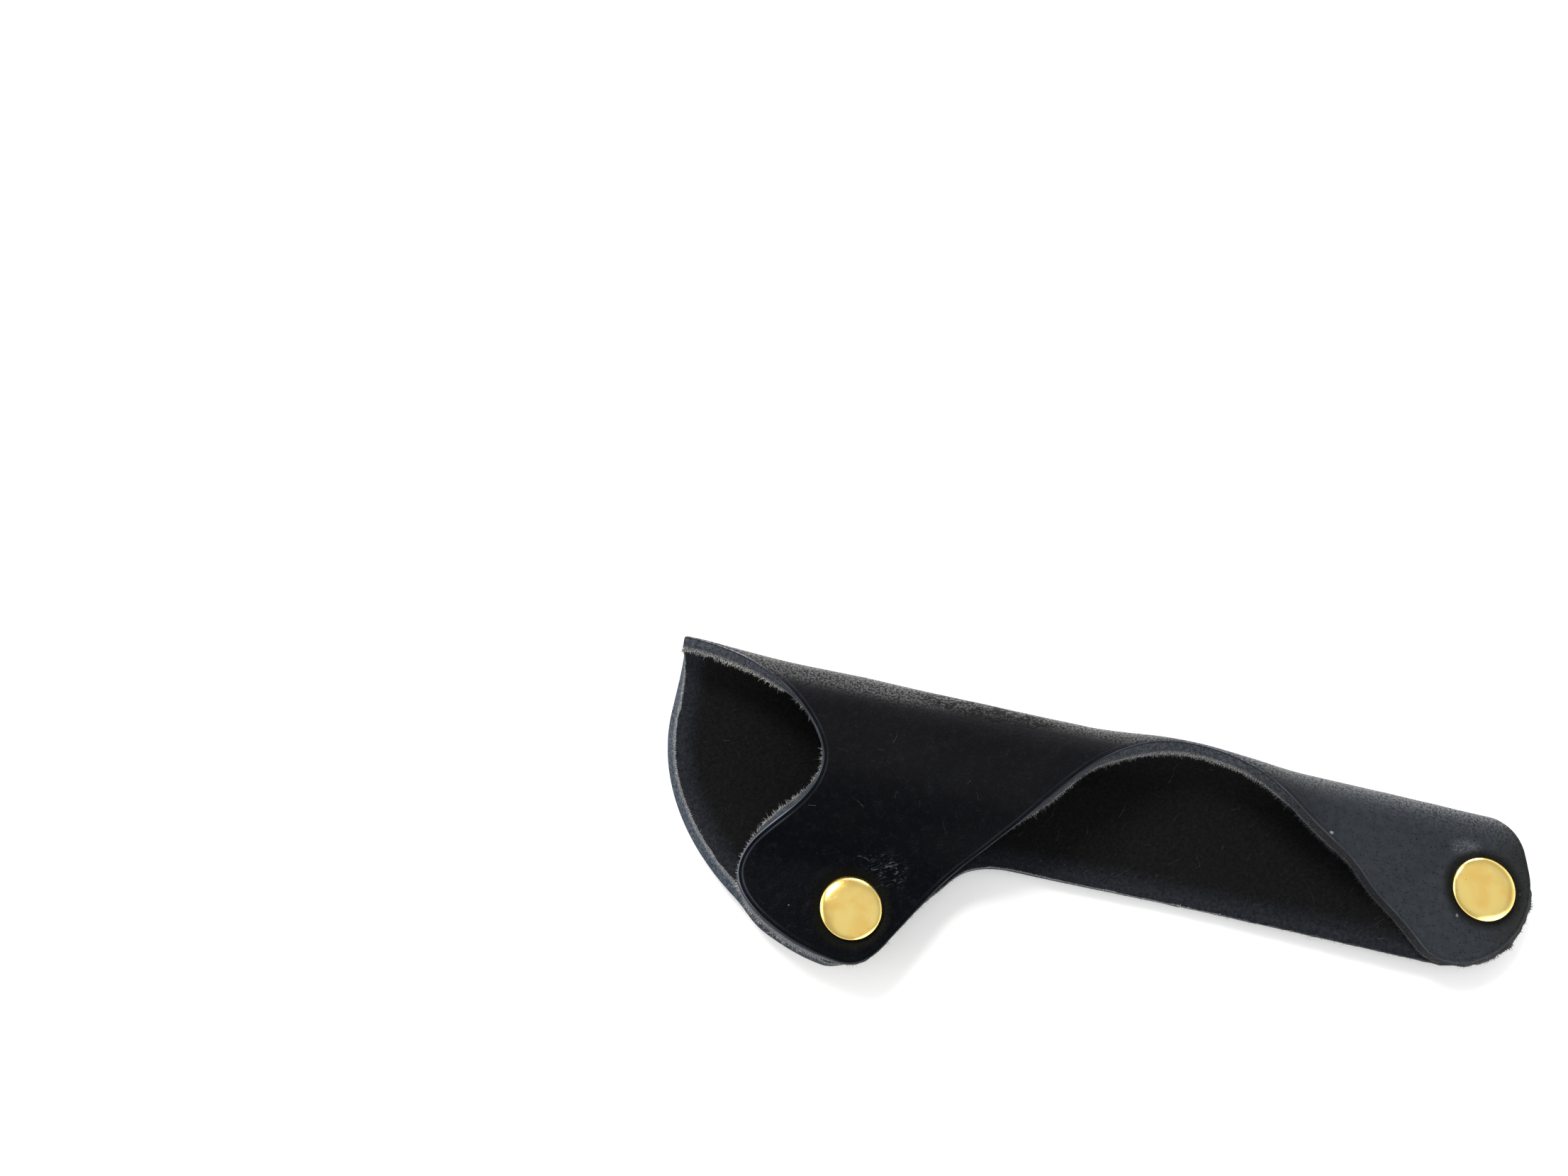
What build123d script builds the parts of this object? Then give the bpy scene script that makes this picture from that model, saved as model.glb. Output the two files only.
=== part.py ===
from build123d import *
from math import cos, pi, radians, sin, tan
import os

os.makedirs("parts", exist_ok=True)

# driving dimensions in millimetres and degrees
leather = 2.2
layer_gap = 0.25
mouth_x = -64.2
tip_x = 64.05
tip_step = 0.3
fold_y = 11.7
fold_radius_mouth = 6.3
fold_radius_body = 5.8
fold_radius_tip = 2.7
crest_x = 13.0
crest_flare = 1.2
crest_reach = 17.0
mouth_flare = 0.5
mouth_flare_reach = 16.0
narrow_from_x = 22.0
narrow_to_x = 56.0
press_from_x = 42.0
press_to_x = 54.0
shoulder_y = -5.3
shoulder_soft = 4.0
shoulder_soft_tip = 1.8
foot_soft = 3.0
foot_soft_tip = 1.2
side_slope = 0.84
side_slope_tip = 0.70
lobe_bend_y = -9.8
lobe_bend_soft = 3.0
lobe_tilt = 10.0
lobe_end_x = -12.0
lobe_level_x = 28.0
tip_lift = 1.2
lift_from_x = 12.0
lift_to_x = 52.0
rest_trim = 0.05
blank_end_margin = 3.8
blank_side_margin = 1.5
fold_reach = 12.0
slope_reach = 30.0
section_count = 56
back_row_count = 6
fold_row_count = 11
slope_row_count = 6
front_row_count = 4
knife_points = 5
knife_above = 1.0
knife_below = 0.25

rivet_hole = 3.2
cap_diameter = 9.0
cap_height = 1.25
cap_crown = 0.28
cap_shoulder = 0.6
crown_flat_radius = 2.5
lip_radius = 3.6
lip_bevel = 0.25
brass = 0.25
seat_clearance = 0.03
slip_clearance = 0.05
flange_clearance = 0.1
flange_thickness = 0.22
tube_diameter = 3.0
post_diameter = 2.3
tube_end_gap = 0.6
post_end_gap = 0.25
mouth_rivet_x = -31.8
mouth_rivet_y = -21.6
tip_rivet_inset = 7.35
tip_rivet_y = 0.9

# outline of the flat leather: along the holder, round the fold, way in, way out, reach in, reach out
outline = [
    (mouth_x, 0.8, 90, 8, 6, 10),
    (-40.15, 17.5, 90, 90, 6.5, 7),
    (-48.9, 34.2, 90, 90, 6.5, 5),
    (-32.6, 43.9, 6, 6, 7.5, 3.2),
    (-26.0, 40.1, -58, -57, 3.2, 7),
    (-15.9, 25.8, -51, -51, 7, 7),
    (-2.6, 9.5, -46, -42, 7, 5),
    (13.5, 1.9, 0, 0, 6, 4),
    (26.0, 7.9, 38, 37, 5, 6),
    (40.0, 15.7, 29, 29, 6, 3),
    (48.2, 21.5, 43, 43, 3, 2.2),
    (52.8, 23.6, 0, 0, 2.5, 5.5),
    (tip_x - tip_step, 11.6, -90, -90, 6.5, 4.8),
    (57.6, 0.0, -130, -50, 3.5, 3.5),
    (tip_x, -11.6, -90, -90, 4.8, 6.5),
    (52.8, -24.1, 180, 182, 5.5, 10),
    (24.0, -25.9, 182, 180, 10, 10),
    (-9.0, -26.4, 180, 180, 10, 3.5),
    (-17.8, -29.8, -128, -127, 3, 3),
    (-26.0, -40.3, -122, -122, 6, 3.4),
    (-32.4, -44.5, 180, 180, 3.6, 10),
    (mouth_x, -14.0, 90, 90, 19, 5),
]


def clamp(value, low, high):
    return min(max(value, low), high)


def between(first, last, share):
    return first + (last - first) * share


def step(share):
    share = clamp(share, 0, 1)
    return share * share * (3 - 2 * share)


def hump(x, centre, reach):
    return cos(clamp((x - centre) / reach, -1, 1) * pi / 2) ** 2


# a straight ramp that starts softly over a parabola
def ramp(distance, soft):
    if distance < -soft:
        return 0.0
    if distance > soft:
        return distance
    return (distance + soft) ** 2 / (4 * soft)


def narrowing(x):
    return step((x - narrow_from_x) / (narrow_to_x - narrow_from_x))


def fold_radius(x):
    along = (x - mouth_x) / (tip_x - mouth_x)
    body = between(fold_radius_mouth, fold_radius_body, along)
    return between(body, fold_radius_tip, narrowing(x))


def fold_flare(x):
    crest = crest_flare * hump(x, crest_x, crest_reach)
    return crest + mouth_flare * hump(x, mouth_x, mouth_flare_reach)


def lift(x):
    return tip_lift * step((x - lift_from_x) / (lift_to_x - lift_from_x))


def back_height(x, y):
    fade = 1 - step((x - lobe_end_x) / (lobe_level_x - lobe_end_x))
    return lift(x) + fade * tan(radians(lobe_tilt)) * ramp(lobe_bend_y - y, lobe_bend_soft)


def front_height(x, y):
    share = narrowing(x)
    pressed = step((x - press_from_x) / (press_to_x - press_from_x))
    rise = 2 * fold_radius(x) - 2 * leather - layer_gap
    slope = between(side_slope, side_slope_tip, share)
    soft_top = between(shoulder_soft, shoulder_soft_tip, pressed)
    soft_foot = between(foot_soft, foot_soft_tip, pressed)
    shoulder = between(shoulder_y, fold_y - fold_radius_tip - shoulder_soft_tip, share)
    foot = shoulder - rise / slope
    drop = slope * ramp(shoulder - y, soft_top) - slope * ramp(foot - y, soft_foot)
    return back_height(x, y) + 2 * leather + layer_gap + rise - drop


# point of the grain side: x along the holder, v round the fold, front above zero, back below
def grain_point(x, v):
    radius = fold_radius(x)
    quarter = radius * pi / 2
    if abs(v) <= quarter:
        angle = v / radius
        y = fold_y - radius + (radius + fold_flare(x)) * cos(angle)
        z = lift(x) + radius + radius * sin(angle)
        low = (1 - sin(angle)) / 2
        return Vector(x, y, z - rest_trim * low)
    y = fold_y - radius - (abs(v) - quarter)
    if v > 0:
        return Vector(x, y, front_height(x, y))
    return Vector(x, y, back_height(x, y) - rest_trim)


def grain_normal(x, v):
    small = 0.02
    along = grain_point(x + small, v) - grain_point(x - small, v)
    round_fold = grain_point(x, v + small) - grain_point(x, v - small)
    return round_fold.cross(along).normalized()


def spread(first, last, count):
    return [between(first, last, step_number / (count - 1)) for step_number in range(count)]


# blank of folded leather, larger than its outline on every side, with its sections across the fold
blank_end_x = max(abs(node[0]) for node in outline) + blank_end_margin
blank_reach = max(abs(node[1]) for node in outline) + blank_side_margin
columns = spread(-blank_end_x, blank_end_x, section_count)
back_rows = spread(-blank_reach, -fold_reach, back_row_count)
fold_rows = spread(-fold_reach, fold_reach, fold_row_count)
slope_rows = spread(fold_reach, slope_reach, slope_row_count)
front_rows = spread(slope_reach, blank_reach, front_row_count)
rows = back_rows[:-1] + fold_rows[:-1] + slope_rows[:-1] + front_rows
marks = [(row - rows[0]) / (rows[-1] - rows[0]) for row in rows]


def section(x):
    grain = [grain_point(x, row) for row in rows]
    flesh = [grain_point(x, row) - leather * grain_normal(x, row) for row in rows]
    outer = Edge.make_spline(grain, parameters=marks)
    inner = Edge.make_spline([Vector(x, point.Y, point.Z) for point in flesh], parameters=marks)
    first_end = Edge.make_line(outer @ 1, inner @ 1)
    second_end = Edge.make_line(inner @ 0, outer @ 0)
    return Wire([outer, first_end, inner, second_end])


blank = Solid.make_loft([section(x) for x in columns], ruled=True)


def outline_point(number, share):
    start = outline[number]
    end = outline[(number + 1) % len(outline)]
    way_out = radians(start[3])
    way_in = radians(end[2])
    first = (start[0] + start[5] * cos(way_out), start[1] + start[5] * sin(way_out))
    last = (end[0] - end[4] * cos(way_in), end[1] - end[4] * sin(way_in))
    rest = 1 - share
    weights = (rest**3, 3 * rest * rest * share, 3 * rest * share * share, share**3)
    corners = (start[:2], first, last, end[:2])
    x = sum(weight * corner[0] for weight, corner in zip(weights, corners))
    v = sum(weight * corner[1] for weight, corner in zip(weights, corners))
    return x, v


# rim of a knife that follows the outline and stands square to the leather
def outline_wire(depth):
    edges = []
    for number in range(len(outline)):
        points = []
        for share in spread(0, 1, knife_points):
            x, v = outline_point(number, share)
            points.append(grain_point(x, v) - depth * grain_normal(x, v))
        edges.append(Edge.make_spline(points))
    return Wire(edges)


knife = Shell.make_loft([outline_wire(-knife_above), outline_wire(leather + knife_below)], ruled=True)
pieces = ShapeList(blank.split(knife, keep=Keep.ALL)).solids()
cut_sleeve = min(pieces, key=lambda piece: piece.bounding_box().size.X)

# rivet axes, square to the leather, with their origin between the two layers
stack = 2 * leather + layer_gap
half_mouth_stack = stack / 2 * cos(radians(lobe_tilt))
tip_rivet_x = tip_x - tip_rivet_inset
mouth_rivet_z = back_height(mouth_rivet_x, mouth_rivet_y) + stack / 2
mouth_axis = Location((mouth_rivet_x, mouth_rivet_y, mouth_rivet_z), (-lobe_tilt, 0, 0))
tip_rivet_z = lift(tip_rivet_x) + stack / 2
tip_axis = Location((tip_rivet_x, tip_rivet_y, tip_rivet_z))

with BuildPart() as leather_sleeve:
    add(cut_sleeve)
    split(bisect_by=Plane.XY, keep=Keep.TOP)
    with Locations(mouth_axis, tip_axis):
        Cylinder(rivet_hole / 2, 4 * stack, mode=Mode.SUBTRACT)


leather_sleeve.part.label = "leather_sleeve"
export_step(leather_sleeve.part, "parts/leather_sleeve.step")


# seats of the four brass pieces of a rivet: each seat looks away from the leather
def front_seat(axis, half_stack):
    return Plane(axis * Location((0, 0, half_stack + seat_clearance)))


def back_seat(axis, half_stack):
    depth = half_stack + rest_trim + seat_clearance
    return Plane(axis * Location((0, 0, -depth), (180, 0, 0)))


# the flanges fit inside the caps
flange_radius = cap_diameter / 2 - cap_shoulder - flange_clearance


def half_section(seat):
    return Plane(origin=seat.origin, x_dir=seat.x_dir, z_dir=-seat.y_dir)


# thin domed cap whose rim is rolled in under the flange that it hides
def domed_cap(name, seat, height):
    rim = cap_diameter / 2
    bend = rim - cap_shoulder
    side = height - cap_crown
    with BuildPart() as cap:
        with BuildSketch(half_section(seat)):
            with BuildLine():
                Polyline(
                    (lip_radius, 0),
                    (rim - lip_bevel, 0),
                    (rim, lip_bevel),
                    (bend, side),
                    (crown_flat_radius, height),
                    (0, height),
                    (0, side - brass),
                    (bend - brass / 2, side - brass),
                    (rim - brass, brass),
                    (lip_radius, brass),
                    close=True,
                )
            make_face()
        revolve(axis=Axis(seat.origin, seat.z_dir))
    cap.part.label = name
    export_step(cap.part, f"parts/{name}.step")


# solid stem under a flat flange
def flanged_post(name, seat, span):
    low = brass + seat_clearance
    with BuildPart() as post:
        with BuildSketch(half_section(seat)):
            with BuildLine():
                Polyline(
                    (0, low + flange_thickness),
                    (flange_radius, low + flange_thickness),
                    (flange_radius, low),
                    (post_diameter / 2, low),
                    (post_diameter / 2, post_end_gap - span),
                    (0, post_end_gap - span),
                    close=True,
                )
            make_face()
        revolve(axis=Axis(seat.origin, seat.z_dir))
    post.part.label = name
    export_step(post.part, f"parts/{name}.step")


# open tube under a flat flange, to take the post
def flanged_tube(name, seat, span):
    low = brass + seat_clearance
    bore = post_diameter / 2 + slip_clearance
    with BuildPart() as tube:
        with BuildSketch(half_section(seat)):
            with BuildLine():
                Polyline(
                    (bore, low + flange_thickness),
                    (flange_radius, low + flange_thickness),
                    (flange_radius, low),
                    (tube_diameter / 2, low),
                    (tube_diameter / 2, tube_end_gap - span),
                    (bore, tube_end_gap - span),
                    close=True,
                )
            make_face()
        revolve(axis=Axis(seat.origin, seat.z_dir))
    tube.part.label = name
    export_step(tube.part, f"parts/{name}.step")


# the back cap at the tip is as high as the gap between the lifted leather and the table
back_cap_height = tip_lift - rest_trim - seat_clearance
for place, axis, half_stack in (("mouth", mouth_axis, half_mouth_stack), ("tip", tip_axis, stack / 2)):
    front = front_seat(axis, half_stack)
    back = back_seat(axis, half_stack)
    span = 2 * half_stack + rest_trim + 2 * seat_clearance
    domed_cap(f"{place}_front_cap", front, cap_height)
    flanged_post(f"{place}_front_post", front, span)
    flanged_tube(f"{place}_back_tube", back, span)
    domed_cap(f"{place}_back_cap", back, back_cap_height)
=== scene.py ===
# %% [markdown]
# # A folded leather pen holder
#
# The holder is one flat piece of black leather. It is folded along its far side, so that a front layer lies
# over a back layer, and two brass rivets keep the layers together: one through the wide lobe at the mouth
# and one through the rounded tip. Between them the front stands up over the pen's channel.
#
# The lesson works out the leather as a surface, cuts it along its outline and adds the rivet caps. Then
# come the finishes, the light and the camera.

import bpy
import numpy as np
from mathutils import Matrix, Vector
from mathutils.geometry import delaunay_2d_cdt


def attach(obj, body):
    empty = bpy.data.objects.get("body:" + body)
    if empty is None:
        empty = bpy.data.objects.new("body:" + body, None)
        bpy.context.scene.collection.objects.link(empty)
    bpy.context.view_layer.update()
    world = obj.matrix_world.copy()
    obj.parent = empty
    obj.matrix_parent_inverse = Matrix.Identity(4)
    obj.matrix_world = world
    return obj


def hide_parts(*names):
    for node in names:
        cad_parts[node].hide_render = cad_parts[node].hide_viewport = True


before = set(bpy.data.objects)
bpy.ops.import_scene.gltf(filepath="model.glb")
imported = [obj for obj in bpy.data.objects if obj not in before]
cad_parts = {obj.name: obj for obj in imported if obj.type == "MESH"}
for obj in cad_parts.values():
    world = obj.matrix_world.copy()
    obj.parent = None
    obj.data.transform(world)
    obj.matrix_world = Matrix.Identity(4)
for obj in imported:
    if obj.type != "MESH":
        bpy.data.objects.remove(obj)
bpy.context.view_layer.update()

MM = 0.001

# %% [markdown]
# ## The leather as a function of two numbers
#
# A folded sheet needs no modelling by hand: every point of its outer side is told by x, the place along the
# holder, and v, the way round the fold. v is 0 on the fold's outermost line, positive over the front and
# negative under the back. Round the fold the point runs on a half circle. Past it, it runs flat, and the
# front comes down over a soft shoulder and a soft foot until it lies on the back layer.
#
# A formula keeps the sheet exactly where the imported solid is, which bending a flat grid with modifiers
# would not, and it can be asked for any point, so the cut edge comes out clean.

# %% Sizes of the leather, in millimetres and degrees
LEATHER = 2.2
LAYER_GAP = 0.25
STACK = 2 * LEATHER + LAYER_GAP
MOUTH_X, TIP_X, TIP_STEP = -64.2, 64.05, 0.3
FOLD_Y = 11.7
RADIUS_MOUTH, RADIUS_BODY, RADIUS_TIP = 6.3, 5.8, 2.7
CREST_X, CREST_FLARE, CREST_REACH = 13.0, 1.2, 17.0
MOUTH_FLARE, MOUTH_FLARE_REACH = 0.5, 16.0
NARROW_FROM, NARROW_TO = 22.0, 56.0
PRESS_FROM, PRESS_TO = 42.0, 54.0
SHOULDER_Y, SHOULDER_SOFT, SHOULDER_SOFT_TIP = -5.3, 4.0, 1.8
FOOT_SOFT, FOOT_SOFT_TIP = 3.0, 1.2
SLOPE, SLOPE_TIP = 0.84, 0.70
LOBE_BEND_Y, LOBE_BEND_SOFT, LOBE_TILT = -9.8, 3.0, np.radians(10.0)
LOBE_END_X, LOBE_LEVEL_X = -12.0, 28.0
TIP_LIFT, LIFT_FROM, LIFT_TO = 1.2, 12.0, 52.0
REST_TRIM = 0.05


def rise(value, start, end):
    """Smooth step from 0 at the start to 1 at the end: 3 squares of the share less 2 cubes of it."""
    share = np.clip((value - start) / (end - start), 0, 1)
    return share * share * (3 - 2 * share)


def mix(first, last, share):
    """Straight line between two values."""
    return first + (last - first) * share


def hump(x, centre, reach):
    """Squared cosine: 1 at the centre, 0 at the reach and beyond."""
    return np.cos(np.clip((x - centre) / reach, -1, 1) * np.pi / 2) ** 2


def ramp(distance, soft):
    """Zero, then a parabola from -soft to +soft, then a straight line of slope 1."""
    bend = (np.clip(distance, -soft, soft) + soft) ** 2 / (4 * soft)
    return np.where(distance > soft, distance, bend)


def unit(vectors):
    """The vectors brought to length 1."""
    return vectors / np.linalg.norm(vectors, axis=-1, keepdims=True)


def compass(angles):
    """Unit vectors in a plane at these angles, one in each row."""
    return np.stack([np.cos(angles), np.sin(angles)], 1)


# %% The outer, or grain, side of the folded sheet
def narrowing(x):
    """0 along the body, 1 at the tip."""
    return rise(x, NARROW_FROM, NARROW_TO)


def lift(x):
    """Height of the back's underside over the table: it rises towards the tip, to clear the cap there."""
    return TIP_LIFT * rise(x, LIFT_FROM, LIFT_TO)


def fold_radius(x):
    """Radius of the fold: slowly smaller along the body, then small at the tip."""
    body = mix(RADIUS_MOUTH, RADIUS_BODY, (x - MOUTH_X) / (TIP_X - MOUTH_X))
    return mix(body, RADIUS_TIP, narrowing(x))


def back_height(x, y):
    """Height of the back layer: lifted at the tip, tilted up under the lobe."""
    fade = 1 - rise(x, LOBE_END_X, LOBE_LEVEL_X)
    return lift(x) + fade * np.tan(LOBE_TILT) * ramp(LOBE_BEND_Y - y, LOBE_BEND_SOFT)


def front_height(x, y):
    """Height of the front layer: as high as the fold, then down a slope between two soft bends."""
    pressed = rise(x, PRESS_FROM, PRESS_TO)
    channel = 2 * fold_radius(x) - STACK
    slope = mix(SLOPE, SLOPE_TIP, narrowing(x))
    shoulder = mix(SHOULDER_Y, FOLD_Y - RADIUS_TIP - SHOULDER_SOFT_TIP, narrowing(x))
    high = ramp(shoulder - y, mix(SHOULDER_SOFT, SHOULDER_SOFT_TIP, pressed))
    low = ramp(shoulder - channel / slope - y, mix(FOOT_SOFT, FOOT_SOFT_TIP, pressed))
    return back_height(x, y) + STACK + channel - slope * (high - low)


def grain_side(x, v):
    """Half circle of the fold radius while |v| is under a quarter turn, then y falls as |v| grows."""
    radius = fold_radius(x)
    quarter = radius * np.pi / 2
    angle = np.clip(v / radius, -np.pi / 2, np.pi / 2)
    flare = CREST_FLARE * hump(x, CREST_X, CREST_REACH) + MOUTH_FLARE * hump(x, MOUTH_X, MOUTH_FLARE_REACH)
    past = np.maximum(np.abs(v) - quarter, 0)
    y = FOLD_Y - radius + (radius + flare) * np.cos(angle) - past
    bent = lift(x) + radius + radius * np.sin(angle) - REST_TRIM * (1 - np.sin(angle)) / 2
    flat = np.where(v > 0, front_height(x, y), back_height(x, y) - REST_TRIM)
    return np.stack([x, y, np.where(past > 0, flat, bent)], -1)


def grain_normal(x, v, small=0.02):
    """Unit vector out of the grain side: cross product of the two directions in which the surface runs."""
    along = grain_side(x + small, v) - grain_side(x - small, v)
    round_fold = grain_side(x, v + small) - grain_side(x, v - small)
    return unit(np.cross(round_fold, along))


print("height over the fold in mm", grain_side(-50.0, 9.0)[2].round(2))

# %% [markdown]
# ## The cut line
#
# A leather worker cuts the flat piece round a card pattern with a knife, so the outline is told on the flat
# sheet, in x and v. It runs clockwise through 22 nodes with a way in and a way out each, as a pen tool in a
# drawing program does. Between two nodes it is a cubic Bezier curve.
#
# The line is then divided evenly, so that the triangles along the edge are all alike, and blurred a little
# along itself, because a knife rounds a sharp corner.

# %% Nodes of the outline: x, v, way in, way out, reach in, reach out
NODES = np.array([
    (MOUTH_X, 0.8, 90, 8, 6, 10), (-40.15, 17.5, 90, 90, 6.5, 7), (-48.9, 34.2, 90, 90, 6.5, 5),
    (-32.6, 43.9, 6, 6, 7.5, 3.2), (-26.0, 40.1, -58, -57, 3.2, 7), (-15.9, 25.8, -51, -51, 7, 7),
    (-2.6, 9.5, -46, -42, 7, 5), (13.5, 1.9, 0, 0, 6, 4), (26.0, 7.9, 38, 37, 5, 6),
    (40.0, 15.7, 29, 29, 6, 3), (48.2, 21.5, 43, 43, 3, 2.2), (52.8, 23.6, 0, 0, 2.5, 5.5),
    (TIP_X - TIP_STEP, 11.6, -90, -90, 6.5, 4.8), (57.6, 0.0, -130, -50, 3.5, 3.5),
    (TIP_X, -11.6, -90, -90, 4.8, 6.5), (52.8, -24.1, 180, 182, 5.5, 10), (24.0, -25.9, 182, 180, 10, 10),
    (-9.0, -26.4, 180, 180, 10, 3.5), (-17.8, -29.8, -128, -127, 3, 3), (-26.0, -40.3, -122, -122, 6, 3.4),
    (-32.4, -44.5, 180, 180, 3.6, 10), (MOUTH_X, -14.0, 90, 90, 19, 5),
])
SPACING = 0.36
KNIFE_BLUR, INSET_BLUR = 0.45, 0.4


def cut_line(steps=160):
    """Cubic Bezier curves: corner points weighted by (1-s)^3, 3(1-s)^2 s, 3(1-s) s^2 and s^3."""
    ends = np.roll(NODES, -1, axis=0)
    first, last = NODES[:, :2], ends[:, :2]
    second = first + NODES[:, 5:6] * compass(np.radians(NODES[:, 3]))
    third = last - ends[:, 4:5] * compass(np.radians(ends[:, 2]))
    s = np.linspace(0, 1, steps, endpoint=False)[:, None, None]
    path = (1 - s) ** 3 * first + 3 * (1 - s) ** 2 * s * second + 3 * (1 - s) * s * s * third + s**3 * last
    return path.swapaxes(0, 1).reshape(-1, 2)


def even(path, spacing):
    """The closed path read off at equal steps of its own length."""
    closed = np.vstack([path, path[:1]])
    run = np.concatenate([[0], np.cumsum(np.linalg.norm(np.diff(closed, axis=0), axis=1))])
    count = int(round(run[-1] / spacing))
    at = np.arange(count) * run[-1] / count
    return np.stack([np.interp(at, run, closed[:, k]) for k in (0, 1)], 1)


def blurred(values, reach):
    """Values along the closed line, blurred by a bell curve: their Fourier terms times its own."""
    turns = np.fft.fftfreq(len(values)) / SPACING
    return np.fft.ifft(np.fft.fft(values) * np.exp(-2 * (np.pi * turns * reach) ** 2))


def inset(path, distance):
    """The path moved to its right, square to itself, after a blur that grows with the distance."""
    line = blurred(path[:, 0] + 1j * path[:, 1], KNIFE_BLUR + INSET_BLUR * distance)
    path = np.stack([line.real, line.imag], 1)
    way = unit(np.roll(path, -1, axis=0) - np.roll(path, 1, axis=0))
    return path + np.stack([way[:, 1], -way[:, 0]], 1) * distance


knife_path = even(cut_line(), SPACING)
print("cut line", len(knife_path), "points,", round(len(knife_path) * SPACING), "mm long")

# %% [markdown]
# ## Where the rivets go
#
# Both rivets stand square to the leather, so the one in the lobe leans with it by ten degrees. Their axes
# are needed twice: for the holes and the pressed rings of the leather, and later for the caps.

# %% Rivet axes and the holes for them
CAP_RADIUS = 4.5
HOLE_RADIUS = 1.6


def axis_frame(x, y, tilt):
    """Middle of the rivet, its three unit vectors, and half the thickness of leather that it holds."""
    middle = np.array([x, y, float(back_height(x, y)) + STACK / 2])
    across = np.array([1.0, 0.0, 0.0])
    up = np.array([0.0, np.sin(tilt), np.cos(tilt)])
    return dict(middle=middle, across=across, up=up, side=np.cross(up, across), half=STACK / 2 * np.cos(tilt))


RIVETS = {"mouth": axis_frame(-31.8, -21.6, LOBE_TILT), "tip": axis_frame(56.7, 0.9, 0.0)}


def flat_place(rivet, front):
    """x and v of the rivet's hole: the flat part of v falls with y, past the quarter turn of the fold."""
    level = rivet["half"] if front else -rivet["half"]
    x, y = (rivet["middle"] + rivet["up"] * level)[:2]
    radius = float(fold_radius(x))
    v = radius * np.pi / 2 + FOLD_Y - radius - y
    return x, v if front else -v


HOLES = np.array([flat_place(rivet, front) for rivet in RIVETS.values() for front in (True, False)])
print("holes at x, v", HOLES.round(1).tolist())

# %% [markdown]
# ## Triangles for the two flat sides
#
# Both sides have the same free outline with four holes. A grid of squares would leave steps along the cut,
# so the inside is filled with an even three-way grid of points, and Blender's constrained Delaunay routine
# joins these points, the outline and the holes into triangles.

# %% Fill the outline with points and triangles
GRID = 0.6
EDGE_INSET = 1.0
HOLE_SIDES = 36
BLOCKS = 24
INSIDE_WITH_HOLES = 2


def inside(points, path):
    """Crossing rule: a point is inside where a ray from it crosses the path an odd number of times."""
    (first_x, first_v), (last_x, last_v) = path.T, np.roll(path, -1, axis=0).T
    climb = np.where(last_v == first_v, 1, last_v - first_v)
    found = []
    for part in np.array_split(points, BLOCKS):
        x, v = part.T[..., None]
        meets = first_x + (v - first_v) * (last_x - first_x) / climb
        crossed = ((first_v > v) != (last_v > v)) & (x < meets)
        found.append(crossed.sum(1) % 2 == 1)
    return np.concatenate(found)


def nearest(points, path):
    """Way to each point from the nearest point of the path, and that one's number, a block at a time."""
    parts = [((part[:, None] - path) ** 2).sum(-1).argmin(1) for part in np.array_split(points, BLOCKS)]
    number = np.concatenate(parts)
    return points - path[number], number


def away_from(path, points):
    """Distance from each point to the nearest point of the path."""
    return np.linalg.norm(nearest(points, path)[0], axis=1)


def three_way_grid(low, high, step):
    """Rows half a step apart in turn, so that each point has six neighbours at the same distance."""
    rows = np.arange(low[1], high[1], step * np.sqrt(3) / 2)
    across = np.arange(low[0], high[0], step)
    x, v = np.meshgrid(across, rows)
    x = x + (np.arange(len(rows)) % 2)[:, None] * step / 2
    return np.stack([x.ravel(), v.ravel()], 1)


def loop_edges(start, size):
    """Pairs of neighbours round a closed loop of points."""
    here = np.arange(size)
    return np.stack([start + here, start + (here + 1) % size], 1)


border = inset(knife_path, EDGE_INSET)
circle = np.linspace(0, 2 * np.pi, HOLE_SIDES, endpoint=False)
rings = [hole + HOLE_RADIUS * compass(circle) for hole in HOLES]
field = three_way_grid(border.min(0), border.max(0), GRID)
field = field[inside(field, border)]
field = field[away_from(np.vstack([border, *rings]), field) > GRID / 2]
field = field[away_from(HOLES, field) > HOLE_RADIUS]
flat_points = np.vstack([border, *rings, field])
flat_edges = [loop_edges(0, len(border))]
flat_edges += [loop_edges(len(border) + HOLE_SIDES * k, HOLE_SIDES) for k in range(len(HOLES))]
made = delaunay_2d_cdt(flat_points.tolist(), np.vstack(flat_edges).tolist(), [], INSIDE_WITH_HOLES, 1e-6)
flat_triangles = np.array([face for face in made[2] if len(face) == 3])
assert len(made[0]) == len(flat_points), "a point was merged or added"
print("flat sides", len(flat_points), "points", len(flat_triangles), "triangles each")

# %% [markdown]
# ## Relief: how a used sheet differs from a perfect one
#
# Leather is never quite flat. It carries slow waves, and the press that sets a rivet squeezes it, so that a
# narrow groove and a low swelling lie round each cap. Both are a few hundredths to two tenths of a
# millimetre high. They are worked into the mesh, because they bend the reflections that tell the eye it is
# leather. The waves fade out where the back rests on the table and where the caps are seated.

# %% Relief of the sheet, in millimetres out of the grain side
LONG_WAVE, LONG_HEIGHT, SHORT_WAVE, SHORT_HEIGHT = 17, 0.07, 7, 0.03
GROOVE_AWAY, GROOVE_WIDTH, GROOVE_DEPTH = 4.75, 0.3, 0.07
SWELLING_AWAY, SWELLING_WIDTH, SWELLING_HEIGHT = 5.75, 0.75, 0.17


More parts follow.
